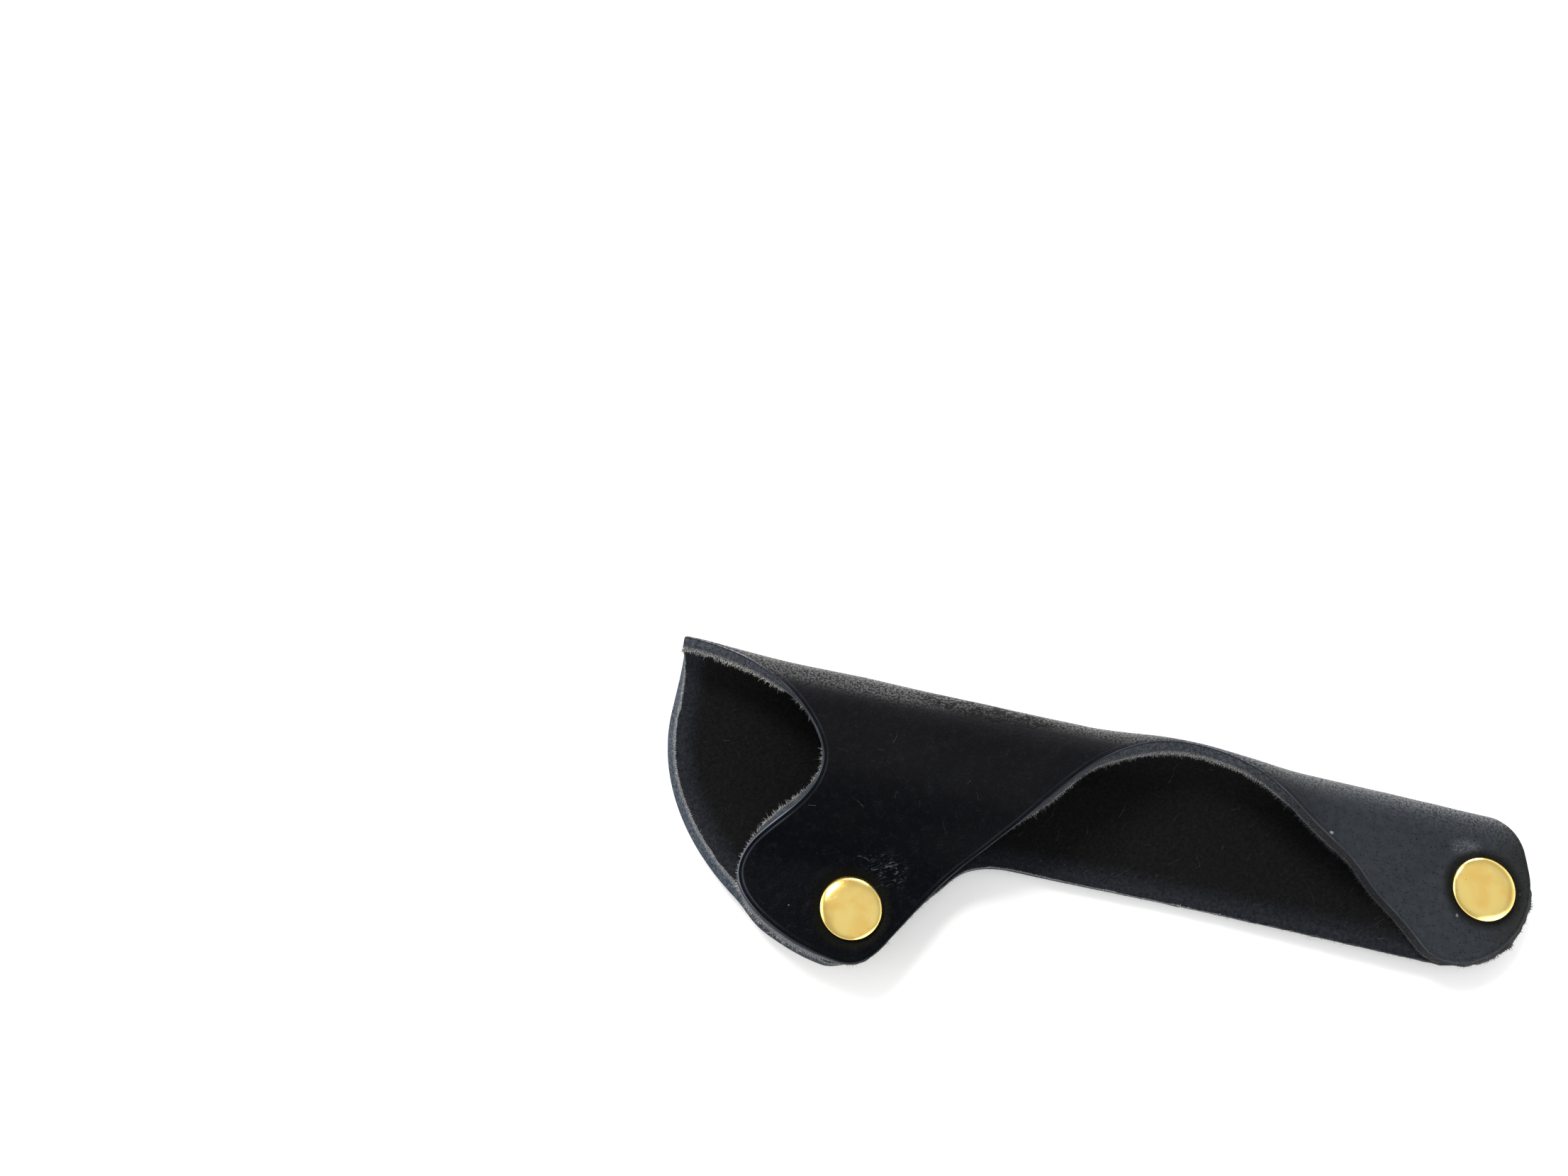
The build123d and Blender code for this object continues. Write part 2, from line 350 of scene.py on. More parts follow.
def slow_waves(x, v, length, count=14):
    """Sum of sines in random directions, with wavelengths around the given length."""
    turn, phase = rng.uniform(0, 2 * np.pi, (2, count))
    pace = 2 * np.pi / (length * rng.uniform(0.7, 1.6, count))
    total = 0
    for t, p, k in zip(turn, phase, pace):
        total = total + np.sin(k * (x * np.cos(t) + v * np.sin(t)) + p)
    return total / np.sqrt(count / 2)


def bell(value, middle, width):
    """Bell curve: 1 in the middle, 1/e at the width."""
    return np.exp(-(((value - middle) / width) ** 2))


def relief(x, v):
    """Slow waves, less where the sheet rests or is clamped, plus a groove and a swelling round each cap."""
    away = away_from(HOLES, np.stack([x, v], 1))
    free = rise(away, CAP_RADIUS, CAP_RADIUS + 4) * rise(v, -13, -5) * (0.35 + 0.65 * rise(v, 4, 10))
    waves = LONG_HEIGHT * slow_waves(x, v, LONG_WAVE) + SHORT_HEIGHT * slow_waves(x, v, SHORT_WAVE)
    groove = GROOVE_DEPTH * bell(away, GROOVE_AWAY, GROOVE_WIDTH)
    swelling = SWELLING_HEIGHT * bell(away, SWELLING_AWAY, SWELLING_WIDTH)
    return free * waves - groove + swelling


# %% [markdown]
# ## The edge
#
# The cut edge is what shows best on this holder: the grain side turns down over a narrow burnished corner,
# a fine line runs along it a little way in, and the cut face below is raw and slightly ragged. It is a
# profile of sixteen points, each told by how far in from the cut and how deep under the grain it lies,
# carried along the whole outline as a band of quads.
#
# The knife did not stand quite square to the leather. At the mouth it leaned in. At the round end, below
# the lobe and down the arch it leaned out, so that the raw face shows there from above as a grey band.

# %% Profile of the edge: distance in from the cut, depth under the grain side
LINE_IN, CUT_TOP = 0.50, 0.2
PROFILE = np.array([
    (EDGE_INSET, 0.0), (0.82, 0.01), (0.64, 0.0), (LINE_IN, 0.07), (0.38, 0.01), (0.25, 0.01), (0.13, 0.07),
    (0.04, CUT_TOP), (0.0, 0.42), (0.0, 0.8), (0.0, 1.2), (0.0, 1.6), (0.02, 1.95), (0.12, 2.14),
    (0.4, LEATHER), (EDGE_INSET, LEATHER),
])
FIRST_CUT, LAST_CUT = 7, 13
EDGE_SEED, WAVES_SEED, FIBRE_SEED, CAP_SEED = 7, 11, 23, 40
ROUGHNESS, ROUGH_REACH = 0.035, 0.35
PROBE = 0.1

# %% Where the cut leans, in millimetres at the flesh side
cut_x, cut_v = knife_path.T
mouth_slant = 1.35 * rise(cut_v, 3, -15) * rise(cut_x, -30, -42)
tip_rim = rise(cut_v, 8, 13) * rise(cut_x, 46, 52) * (0.35 + 0.95 * rise(cut_x, 53, 62))
lobe_rim = 0.5 * rise(cut_v, 35, 40) * rise(cut_x, -31, -38)
far_leg_rim = 0.45 * rise(cut_x, 16, 26) * rise(cut_x, 52, 46) * rise(cut_v, 3, 7)
near_leg_rim = 0.9 * rise(cut_x, -22, -6) * rise(cut_x, 13, 4) * rise(cut_v, 0.5, 2)
side_rims = lobe_rim + far_leg_rim + near_leg_rim
back_foot = 0.85 * rise(cut_v, -37, -41) * rise(cut_x, -49, -43) * rise(cut_x, -30, -34)
whole_lean = mouth_slant - tip_rim - side_rims - back_foot
print("the cut leans from", whole_lean.min().round(2), "to", whole_lean.max().round(2), "mm")


# %% The band along the edge
def ragged(reach, size):
    """Random numbers along the cut, blurred and brought to this size."""
    line = blurred(rng.normal(size=count), reach).real
    return size * line / line.std()


rng = np.random.default_rng(EDGE_SEED)
count = len(knife_path)
worn_away = 0.85 * rise(cut_v, 30, 35) * rise(cut_x, -44, -38)
band_xv, band_depth = [], []
for step_in, depth in PROFILE:
    share_down = np.clip((depth - CUT_TOP) / (LEATHER - CUT_TOP), 0, 1)
    on_cut = step_in < 0.3
    rough = ragged(ROUGH_REACH, ROUGHNESS) * rise(depth, 0.3, 1.2) * (1 + 2 * tip_rim) * on_cut
    lean = (mouth_slant - side_rims) * share_down + tip_rim * (0.1 - 1.1 * share_down) - back_foot
    line = inset(knife_path, step_in)
    inward = (inset(knife_path, step_in + PROBE) - line) / PROBE
    band_xv.append(line + inward * (rough + lean)[:, None])
    band_depth.append(depth * (1 - worn_away * (step_in == LINE_IN)))
band_xv, band_depth = np.array(band_xv), np.array(band_depth)
print("edge band", len(PROFILE), "lines of", count, "points")

# %% Points of the whole sheet
line_count = len(PROFILE)
last_line = (line_count - 1) * count
inner_count = len(flat_points) - count


def pushed_in(points, reach=9.0):
    """Points of the flesh side near a leaning cut move with it, less and less up to the reach."""
    x, v = points.T
    at_mouth = (x < -26) & ((v < 4) | (v > 24))
    near_front = (x > -26) & (v > 0)
    away, number = nearest(points, knife_path)
    gap = np.linalg.norm(away, axis=1)
    share = np.clip(1 - (gap - EDGE_INSET) / reach, 0, 1) * (at_mouth | near_front)
    return points + away / gap[:, None] * (whole_lean[number] * share)[:, None]


xv = np.vstack([band_xv.reshape(-1, 2), flat_points[count:], pushed_in(flat_points[count:])])
depths = np.concatenate([band_depth.ravel(), np.zeros(inner_count), np.full(inner_count, LEATHER)])
x, v = xv.T
rng = np.random.default_rng(WAVES_SEED)
lift_off = relief(x, v) * (1 - 0.6 * depths / LEATHER)
place = grain_side(x, v) + (lift_off - depths)[:, None] * grain_normal(x, v)
place[:, 2] = np.maximum(place[:, 2], 0)
print("sheet", len(place), "points")


# %% Faces of the whole sheet
def turned(triangles, points, sign):
    """Triangles with their corners in the order that gives the flat area this sign."""
    a, b, c = points[triangles.T]
    (b_x, b_v), (c_x, c_v) = (b - a).T, (c - a).T
    area = b_x * c_v - b_v * c_x
    return np.where((area * sign > 0)[:, None], triangles, triangles[:, ::-1])


def strip(first, last, size):
    """Quads between two closed lines of points with the same count."""
    return np.hstack([loop_edges(first, size), loop_edges(last, size)[:, ::-1]])


# the two flat sides share the band's first and last line of points
order = np.arange(len(flat_points))
grain_index = order + (order >= count) * last_line
flesh_index = order + (order >= count) * inner_count + last_line
grain_faces = grain_index[turned(flat_triangles, flat_points, -1)]
flesh_faces = flesh_index[turned(flat_triangles, flat_points, 1)]
band_faces = np.vstack([strip((k + 1) * count, k * count, count) for k in range(line_count - 1)])
grain_holes = line_count * count + HOLE_SIDES * np.arange(len(HOLES))
hole_faces = np.vstack([strip(hole + inner_count, hole, HOLE_SIDES) for hole in grain_holes])
print("faces", len(grain_faces), len(flesh_faces), len(band_faces), len(hole_faces))

# %% [markdown]
# ## From arrays to a mesh
#
# One function makes every new piece: it takes the points in millimetres, the faces, the finish of each face
# and the numbers that the finish will need on the points. The signed volume is positive only if the faces
# point outwards, so it is printed as a check.

# %% Make a mesh object from arrays
def signed_volume(points, faces):
    """Sum over each face's triangles of the triple product of their corners, divided by six."""
    fans = [points[faces[:, [0, k, k + 1]]] for k in range(1, faces.shape[1] - 1)]
    return sum((fan[:, 0] * np.cross(fan[:, 1], fan[:, 2])).sum() for fan in fans) / 6


def new_object(name, data):
    """An object in the scene, at its origin."""
    made = bpy.data.objects.new(name, data)
    bpy.context.scene.collection.objects.link(made)
    return made


def make_piece(name, points, groups, numbers=None, flat_map=None):
    """A mesh object. groups is a list of face arrays, one for each of the piece's finishes."""
    mesh = bpy.data.meshes.new(name)
    faces = [face for group in groups for face in group.tolist()]
    mesh.from_pydata((points * MM).tolist(), [], faces)
    mesh.polygons.foreach_set("material_index", np.repeat(np.arange(len(groups)), [len(g) for g in groups]))
    mesh.polygons.foreach_set("use_smooth", np.ones(len(faces), bool))
    for key, values in (numbers or {}).items():
        mesh.attributes.new(key, "FLOAT", "POINT").data.foreach_set("value", values.astype(np.float32))
    if flat_map is not None:
        corner_points = np.zeros(len(mesh.loops), np.int32)
        mesh.loops.foreach_get("vertex_index", corner_points)
        layer = mesh.uv_layers.new(name="pattern")
        layer.data.foreach_set("uv", flat_map[corner_points].astype(np.float32).ravel())
    mesh.update()
    volume = sum(signed_volume(points, group) for group in groups)
    print(name, len(points), "points", len(faces), "faces", round(float(volume) / 1000, 3), "cm3")
    return new_object(name, mesh)


# %% The sleeve
MAP_SIZE = 150.0
MAP_ORIGIN = np.array([-75.0, -75.0])
FAR_FROM_EDGE = 12
edge_distance = np.concatenate([
    np.repeat(PROFILE[:, 0] - np.maximum(PROFILE[:, 1] - CUT_TOP, 0), count),
    np.tile(away_from(inset(knife_path, 0.0), flat_points[count:]).clip(max=FAR_FROM_EDGE), 2),
])
turned_down, cut_face, turned_in = np.split(band_faces, [FIRST_CUT * count, LAST_CUT * count])
sleeve = make_piece(
    "sleeve_leather", place,
    [turned_down, grain_faces, cut_face, np.vstack([turned_in, hole_faces]), flesh_faces],
    {"edge_mm": edge_distance, "cap_mm": away_from(HOLES, xv), "depth_mm": depths},
    (xv - MAP_ORIGIN) / MAP_SIZE,
)
SLEEVE_FINISHES = ("grain", "grain", "cut", "flesh", "flesh")
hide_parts("leather_sleeve")
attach(sleeve, "root")

# %% [markdown]
# ## Loose fibres
#
# A raw cut through leather is furry: short fibres stand out of the lower half of the cut face and catch the
# light. Hair curves could do it, but some twelve thousand tiny three-sided spikes travel with the model
# into any other program. Most of them start along the cut's lower corner and lean outwards and down. Others
# lie as hairs on the flesh side, and a few as lint on the grain side. Each bends once and ends in a point.

# %% What a fibre is, and where one may lie
def spikes(root, way, bend, length, thick):
    """Three-sided cones: the centre runs root + (way t + bend t^2) length, the radius falls as 1.02 - t."""
    t = np.array([0.0, 0.5, 1.0])[:, None]
    centre = root[:, None] + (way[:, None] * t + bend[:, None] * t**2) * length[:, None, None]
    side = unit(np.cross(way, rng.normal(size=way.shape)))
    other = np.cross(way, side)
    angles = np.arange(3) * 2 * np.pi / 3
    ring = side[:, None, None] * np.cos(angles)[:, None] + other[:, None, None] * np.sin(angles)[:, None]
    points = centre[:, :, None] + ring * (thick[:, None, None] * (1.02 - t))[..., None]
    base = (np.arange(len(root)) * 9)[:, None]
    walls = [base + corners for level in (0, 3) for corners in strip(level, level + 3, 3)]
    ends = [base + np.array([2, 1, 0]), base + np.array([6, 7, 8])]
    return points.reshape(-1, 3), np.vstack(walls), np.vstack(ends)


def on_flesh(points):
    """Place and outward normal on the flesh side for flat points."""
    normal = -grain_normal(*points.T)
    return grain_side(*points.T) + LEATHER * normal, normal


def on_sheet(points, margin):
    """Those of the flat points that lie this far inside the cut and clear of the caps."""
    clear = away_from(HOLES, points) > CAP_RADIUS + 1
    return points[inside(points, inset(knife_path, margin)) & clear]


# %% A dense fringe along the corner between the cut and the flesh side
FRINGE_TRIES, SINGLE_FIBRES, FLESH_HAIRS, LINT = 20000, 1300, 2600, 26
rng = np.random.default_rng(FIBRE_SEED)
band = place[:line_count * count].reshape(line_count, count, 3)
down_the_cut = unit(band[LAST_CUT] - band[LAST_CUT - 4])
out_of_cut = unit(band[LAST_CUT] - band[-1])
fray = ragged(2.5, 0.35) + ragged(0.5, 0.25)

fringe = rng.integers(0, count, FRINGE_TRIES)
likely = (0.75 + fray[fringe]) * np.where(cut_v[fringe] > -2, 0.95, 0.3)
fringe = fringe[rng.uniform(size=len(fringe)) < likely]
at_mouth = rise(cut_x[fringe], -30, -42) * (cut_v[fringe] > -2)
arch_right = rise(cut_x[fringe], 18, 28)
up_the_cut = rng.uniform(-0.6, 1.0, (len(fringe), 1))
fringe_root = band[LAST_CUT, fringe] + (band[LAST_CUT - 1, fringe] - band[LAST_CUT, fringe]) * up_the_cut
fringe_way = out_of_cut[fringe] * 0.7 + down_the_cut[fringe] * 0.5 + rng.normal(size=(len(fringe), 3)) * 0.36
fringe_length = rng.gamma(4.0, 0.070, len(fringe)).clip(0.1, 0.5) * (1 + 0.2 * at_mouth)
print("fringe", len(fringe), "fibres")

# %% Single fibres out of the cut face, hairs on the flesh side, and lint on the grain side
single = rng.integers(0, count, SINGLE_FIBRES)
single_root = band[rng.integers(FIRST_CUT + 1, LAST_CUT, len(single)), single]
single_way = out_of_cut[single] + rng.normal(size=(len(single), 3)) * 0.9
single_length = rng.gamma(2.0, 0.14, len(single)).clip(0.1, 1.3)

hairs = inset(knife_path, EDGE_INSET)[rng.integers(0, count, FLESH_HAIRS)]
anywhere = flat_points[rng.integers(0, len(flat_points), FLESH_HAIRS)]
hairs = pushed_in(on_sheet(hairs + (anywhere - hairs) * rng.beta(0.9, 4.0, (FLESH_HAIRS, 1)), 1.6))
hair_root, hair_up = on_flesh(hairs)
lean = np.stack([rng.normal(0.5, 0.5, len(hairs)), rng.normal(0.9, 0.5, len(hairs)), np.zeros(len(hairs))], 1)
flat_lean = lean - hair_up * (lean * hair_up).sum(1, keepdims=True)
hair_way = flat_lean + hair_up * rng.uniform(0.05, 0.5, (len(hairs), 1))
hair_length = rng.gamma(3.0, 0.3, len(hairs)).clip(0.2, 2.2)

lint = on_sheet(np.stack([rng.uniform(-44, 10, LINT), rng.uniform(12, 38, LINT)], 1), EDGE_INSET)
lint_up = grain_normal(*lint.T)
lint_root = grain_side(*lint.T) + 0.05 * lint_up
lint_way = np.cross(lint_up, rng.normal(size=lint_up.shape)) + 0.15 * lint_up
lint_length = rng.uniform(0.4, 1.9, len(lint))
print("single", len(single), "hairs", len(hairs), "lint", len(lint))

# %% All of them as one mesh
THICKNESS = ((0.020, 0.040), (0.012, 0.024), (0.010, 0.018), (0.012, 0.020))
LOWEST, HIGHEST = 0.02, 12.6
way = unit(np.vstack([fringe_way, single_way, hair_way, lint_way]))
root = np.vstack([fringe_root, single_root, hair_root, lint_root]) - way * 0.05
length = np.concatenate([fringe_length, single_length, hair_length, lint_length])
bend = rng.normal(size=way.shape) * 0.45
kinds = [len(kind) for kind in (fringe, single, hairs, lint)]
thick = np.concatenate([rng.uniform(*limits, size) for limits, size in zip(THICKNESS, kinds)])
thick[:len(fringe)] *= 1 + 0.3 * at_mouth
pale = np.concatenate([
    rng.beta(2.0, 1.6, len(fringe)) * (0.8 + 0.35 * at_mouth) * (1 - 0.75 * arch_right),
    rng.beta(2.0, 3.0, len(single)) * 0.8,
    rng.beta(1.5, 5.0, len(hairs)) * 0.5,
    rng.uniform(0.1, 0.35, len(lint)),
])
fibre_points, fibre_walls, fibre_ends = spikes(root, way, bend, length, thick)
fibre_points[:, 2] = fibre_points[:, 2].clip(LOWEST, HIGHEST)
shades = np.repeat(pale, len(fibre_points) // len(pale))
fibres = make_piece("cut_edge_fibres", fibre_points, [fibre_walls, fibre_ends], {"pale": shades})
FIBRE_FINISHES = ("fibre", "fibre")
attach(fibres, "root")

# %% [markdown]
# ## Rivet caps
#
# A double-cap rivet shows only its two caps: thin brass, pressed into a flat dome, with the rim rolled in
# under itself. A cap is a profile turned round the rivet's axis. Its outer line is a superellipse, which is
# flat on top and round at the rim, plus a slight crown. The inner line keeps the sheet 0.25 mm thick.
#
# A hammer and a setting tool never leave a perfect dome, so slow waves of a few hundredths of a millimetre
# dent the top. They make the reflections swim, as on real caps.

# %% A cap as a turned profile with dents
BRASS = 0.25
SEAT = 0.03
LIP_RADIUS = 3.6
RIM_ROLL = 0.33
SIDE_POWER, TOP_POWER = 3.6, 2.1
DOME_SHARE = 0.82
FRONT_CAP_HEIGHT = 1.25
BACK_CAP_HEIGHT = TIP_LIFT - REST_TRIM - SEAT
DENT_WAVES, DENT = 9, 0.006
POLE_GAP = 0.02


def cap_profile(height, steps=44):
    """Radius and height of the outer line from the lip to the top, then of the inner line back to the lip."""
    a = np.linspace(0, np.pi / 2, steps)
    rim_r = CAP_RADIUS * np.cos(a) ** (2 / SIDE_POWER)
    rim_z = RIM_ROLL + (height * DOME_SHARE - RIM_ROLL) * np.sin(a) ** (2 / TOP_POWER)
    crown = height * (1 - DOME_SHARE) * (1 - (rim_r / CAP_RADIUS) ** 2)
    roll = (CAP_RADIUS - RIM_ROLL, RIM_ROLL) + RIM_ROLL * compass(np.linspace(-np.pi / 2, 0, 12)[:-1])
    outer = np.vstack([[LIP_RADIUS, 0], roll, np.stack([rim_r, rim_z + crown], 1)])
    way = np.gradient(outer, axis=0)
    way /= np.maximum(np.linalg.norm(way, axis=1, keepdims=True), 1e-9)
    inner = outer + BRASS * np.stack([-way[:, 1], way[:, 0]], 1)
    inner[-1] = (0, outer[-1, 1] - BRASS)
    inner[:, 0] = np.clip(inner[:, 0], 0, CAP_RADIUS - BRASS)
    return np.vstack([outer, inner[::-1]])


def turned_cap(rivet, front, height, seed, sides=144):
    """The profile carried round the axis; each pole is closed by a fan."""
    profile = cap_profile(height)
    rows = len(profile)
    half = rows // 2
    profile[half - 1:half + 1, 0] = POLE_GAP
    angles = np.linspace(0, 2 * np.pi, sides, endpoint=False)
    r, z = np.repeat(profile.T[..., None], sides, axis=2)
    local = np.random.default_rng(seed)
    dents = 0
    for _ in range(DENT_WAVES):
        turn, phase = local.uniform(0, 2 * np.pi, 2)
        pace = 2 * np.pi / local.uniform(2.2, 6.5)
        dents = dents + np.sin(pace * r * np.cos(angles - turn) + phase)
    z = z + DENT * dents * rise(r, CAP_RADIUS - 0.3, CAP_RADIUS - 1.8) * (z > height * 0.4)
    sign = 1.0 if front else -1.0
    up, side = rivet["up"] * sign, rivet["side"] * sign
    seat = rivet["middle"] + up * (rivet["half"] + SEAT + (0.0 if front else REST_TRIM))
    outward = np.cos(angles)[:, None] * rivet["across"] + np.sin(angles)[:, None] * side
    points = seat + r[..., None] * outward + z[..., None] * up
    poles = points[half - 1:half + 1].mean(1)
    joins = [(k, (k + 1) % rows) for k in range(rows) if k != half - 1]
    walls = np.vstack([strip(first * sides, last * sides, sides) for first, last in joins])
    top = np.column_stack([loop_edges((half - 1) * sides, sides), np.full(sides, rows * sides)])
    low = np.column_stack([loop_edges(half * sides, sides)[:, ::-1], np.full(sides, rows * sides + 1)])
    return np.vstack([points.reshape(-1, 3), poles]), walls, np.vstack([top, low])


# %% Four caps, each printed with its own box, each hiding the node that it replaces
CAP_FINISHES = ("brass", "brass")
caps = []
for number, (place_name, rivet) in enumerate(RIVETS.items()):
    for front, height in ((True, FRONT_CAP_HEIGHT), (False, BACK_CAP_HEIGHT)):
        node = f"{place_name}_{'front' if front else 'back'}_cap"
        points, walls, fans = turned_cap(rivet, front, height, CAP_SEED + 2 * number + front)
        cap = make_piece(node + "_brass", points, [walls, fans])
        print("   cap ", np.round(points.min(0), 2), np.round(points.max(0), 2))
        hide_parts(node)
        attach(cap, "root")
        caps.append(cap)

# %% [markdown]
# ## Finishes, and a small helper for them
#
# A procedural finish is a sum: so much of this noise, less that mask, times a strength. Written as nodes it
# is a page of boxes, so one small class wraps a socket and lets Python's own signs add the Math nodes.
# Every other node comes from one method.

# %% The helper class
class Flow:
    """One output socket. Signs between flows and numbers add Math nodes to the tree."""

    def __init__(self, tree, socket):
        self.tree = tree
        self.socket = socket

    def node(self, kind, settings=None, output=0, **inputs):
        """Adds any node: settings first, then values or links for sockets, by name or as i and a number."""
        made = self.tree.nodes.new(kind)
        for key, value in (settings or {}).items():
            setattr(made, key, value)
        for key, value in inputs.items():
            socket = made.inputs[int(key[1:]) if key[1:].isdigit() else key]
            if isinstance(value, Flow):
                self.tree.links.new(value.socket, socket)
            else:
                socket.default_value = value
        return Flow(self.tree, made.outputs[output])

    def maths(self, operation, first, second=0.0):
        """A Math node."""
        return self.node("ShaderNodeMath", {"operation": operation}, i0=first, i1=second)

    def vector(self, operation, second=(0, 0, 0), output="Vector", **more):
        """A Vector Math node with this flow as its first input."""
        return self.node("ShaderNodeVectorMath", {"operation": operation}, output, i0=self, i1=second, **more)

    def axis(self, number):
        """One of the three coordinates of this flow."""
        return self.node("ShaderNodeSeparateXYZ", output=number, Vector=self)

    def __add__(self, other):
        return self.maths("ADD", self, other)

    def __sub__(self, other):
        return self.maths("SUBTRACT", self, other)

    def __rsub__(self, other):
        return self.maths("SUBTRACT", other, self)

    def __mul__(self, other):
        return self.maths("MULTIPLY", self, other)

    def __pow__(self, other):
        return self.maths("POWER", self, other)

    __radd__ = __add__
    __rmul__ = __mul__

    def between(self, low, high):
        """0 below low, 1 above high, smooth in between."""
        settings = {"interpolation_type": "SMOOTHSTEP"}
        return self.node("ShaderNodeMapRange", settings, Value=self, i1=low, i2=high)

    def colours(self, first, last):
        """A colour between two, this flow being the share of the last. Each may be a flow too."""
        first, last = (one if isinstance(one, Flow) else (*one, 1.0) for one in (first, last))
        return self.node("ShaderNodeMix", {"data_type": "RGBA"}, output=2, i0=self, i6=first, i7=last)


def new_finish(name, **constants):
    """A material with one Principled shader, whose constants are set straight on its sockets."""
    material = bpy.data.materials.new(name)
    material.use_nodes = True
    shader = material.node_tree.nodes["Principled BSDF"]
    for key, value in constants.items():
        shader.inputs[key.replace("_", " ")].default_value = value
    return material, Flow(material.node_tree, None), shader


def connect(flow, shader, socket):
    """Links a flow to one socket of the shader."""
    flow.tree.links.new(flow.socket, shader.inputs[socket])


def painted(ground, *layers):
    """The ground colour under layers of (share, colour), each laid over all before it."""
    for share, colour in layers:
        ground = share.colours(ground, colour)
    return ground


def dress(shader, colour, roughness, height=None):
    """Links the colour, the roughness and a normal bent by the height in millimetres."""
    connect(colour, shader, "Base Color")
    connect(roughness, shader, "Roughness")
    if height:
        bump = height.node("ShaderNodeBump", Strength=1.0, Distance=MM, Height=height)
        connect(bump, shader, "Normal")


# %% Places and patterns
def leather_map(start):
    """Flat coordinates in millimetres from the piece's own map."""
    uv = start.node("ShaderNodeUVMap", {"uv_map": "pattern"})
    return uv.vector("MULTIPLY_ADD", (MAP_SIZE, MAP_SIZE, 0), i2=(*MAP_ORIGIN, 0))


def solid_place(start):
    """The piece's own coordinates, in millimetres."""
    return start.node("ShaderNodeTexCoord", output="Object").vector("MULTIPLY", (1 / MM, 1 / MM, 1 / MM))


def stored(start, name):
    """A number that the piece carries on its points."""
    return start.node("ShaderNodeAttribute", {"attribute_name": name}, output="Fac")


def stretched(place, across, along, turn):
    """The coordinates turned, then scaled, so that a pattern gets a direction."""
    turned_place = place.node("ShaderNodeMapping", Vector=place, Rotation=(0, 0, turn))
    return turned_place.vector("MULTIPLY", (across, along, 1))


def noise(place, scale, detail=3.0, roughness=0.5, distortion=0.0):
    """Fractal noise round 0.5, its cells one over the scale in size."""
    return place.node("ShaderNodeTexNoise", Vector=place, Scale=scale, Detail=detail, Roughness=roughness,
                      Distortion=distortion)


def dots(place, scale, low, high):
    """0 in a round dot at the centre of each random cell, 1 outside it."""
    return place.node("ShaderNodeTexVoronoi", Vector=place, Scale=scale).between(low, high)


def ridges(pattern, width):
    """1 where a pattern crosses 0.5, 0 beyond the width: thin winding lines."""
    return 1 - pattern.maths("ABSOLUTE", pattern - 0.5).between(0, width)


def stripe(value, start, full, fade, end):
    """0 up to the start, 1 from full to fade, and 0 again from the end."""
    return value.between(start, full) * (1 - value.between(fade, end))


def window(place, centre, reach):
    """1 near a centre, falling to 0 on an ellipse round it."""
    scaled = place.vector("SUBTRACT", (*centre, 0)).vector("DIVIDE", (*reach, 1))
    return 1 - scaled.vector("LENGTH", output="Value").between(0.35, 1)


# %% [markdown]
# ## Black leather
#
# The grain side is dyed through, waxed and rubbed. From near it is not one black: slow bluish clouds, dark
# pores a few tenths of a millimetre wide, a few specks of dust, and a lighter line along the edge, partly
# worn by hands and partly a painted highlight. Light and shade are painted in as well: a painted sheen along
# the fold, a tip painted lighter and bluer as a painted reflection, painted shade in the creases and round
# the caps, and a painted highlight beside the tip cap. Patterns follow the flat sheet, as the hide's own do,
# so they read the piece's map rather than its place in space. All heights are in millimetres, and one Bump
# node turns their sum into the normal.

# %% Parts of the grain side
grain, start, shader = new_finish("black_grain_leather", Specular_IOR_Level=0.042, Coat_Roughness=0.36)
flat = leather_map(start)
along, round_fold = flat.axis(0), flat.axis(1)
from_edge, from_cap = stored(start, "edge_mm"), stored(start, "cap_mm")

clouds = noise(flat, 0.11)
mottle = noise(flat, 0.9, 4.0, 0.6)
grains = noise(flat, 2.9, 2.0, 0.6)
pores = dots(flat, 2.2, 0.12, 0.32)
specks = 1 - dots(flat, 0.23, 0.012, 0.03)
tip_share = along.between(15, 38)
lobe_share = (1 - along.between(-18, -4)) * round_fold.between(14, 24)
lobe_left = (1 - along.between(-46, -40)) * stripe(round_fold, 12, 24, 36, 41)
lobe_end = round_fold.between(30, 35) * along.between(-44, -38)
line_share = (1 - tip_share * 0.8) * (1 - lobe_end * 0.85)
corner = 1 - from_edge.between(0.1, 0.22)
first_line = stripe(from_edge, 0.34, 0.46, 0.52, 0.64) * line_share
second_line = stripe(from_edge, 0.54, 0.66, 0.72, 0.9) * line_share
pressed_ring_and_shadow = stripe(from_cap, 4.2, 4.5, 4.8, 6.2)

# %% Puckers beside the wide cap, creases along the fold, a rubbed spot and painted highlight beside the other cap, and scratches
wide_x, wide_v = HOLES[0]
tip_x, tip_v = HOLES[2]
dashes = ridges(noise(stretched(flat, 0.5, 2.2, 0.5), 1.0, 1.0, 0.4, 0.25), 0.038)
pucker_window = window(flat, (wide_x + 3.8, wide_v - 6.0), (4.8, 4.0)) ** 2.0
from_bend = flat.vector("DISTANCE", (wide_x + 0.1, wide_v - 5.4, 0), output="Value")
bend_line = ridges(from_bend * 0.25, 0.035) * window(flat, (wide_x + 0.5, wide_v - 7.4), (2.6, 1.4))
puckers = (dashes * pucker_window + bend_line * 0.4) * mottle.between(0.44, 0.54)

crossing = ridges(noise(stretched(flat, 0.5, 1.1, 0.45), 1.0, 1.0, 0.5, 1.0), 0.1)
creases = (crossing * window(flat, (-18.5, 4.0), (14.0, 3.0))).between(0.08, 0.5)
rub_and_highlight_window = window(flat, (tip_x - 3.1, tip_v - 5.3), (3.0, 1.7))
rub_and_highlight = rub_and_highlight_window * (dashes * 0.5 + grains.between(0.44, 0.56) * 0.6 + 0.15)
dust = window(flat, (32.2, 11.0), (0.38, 0.28)) + window(flat, (53.4, 16.8), (0.28, 0.3))

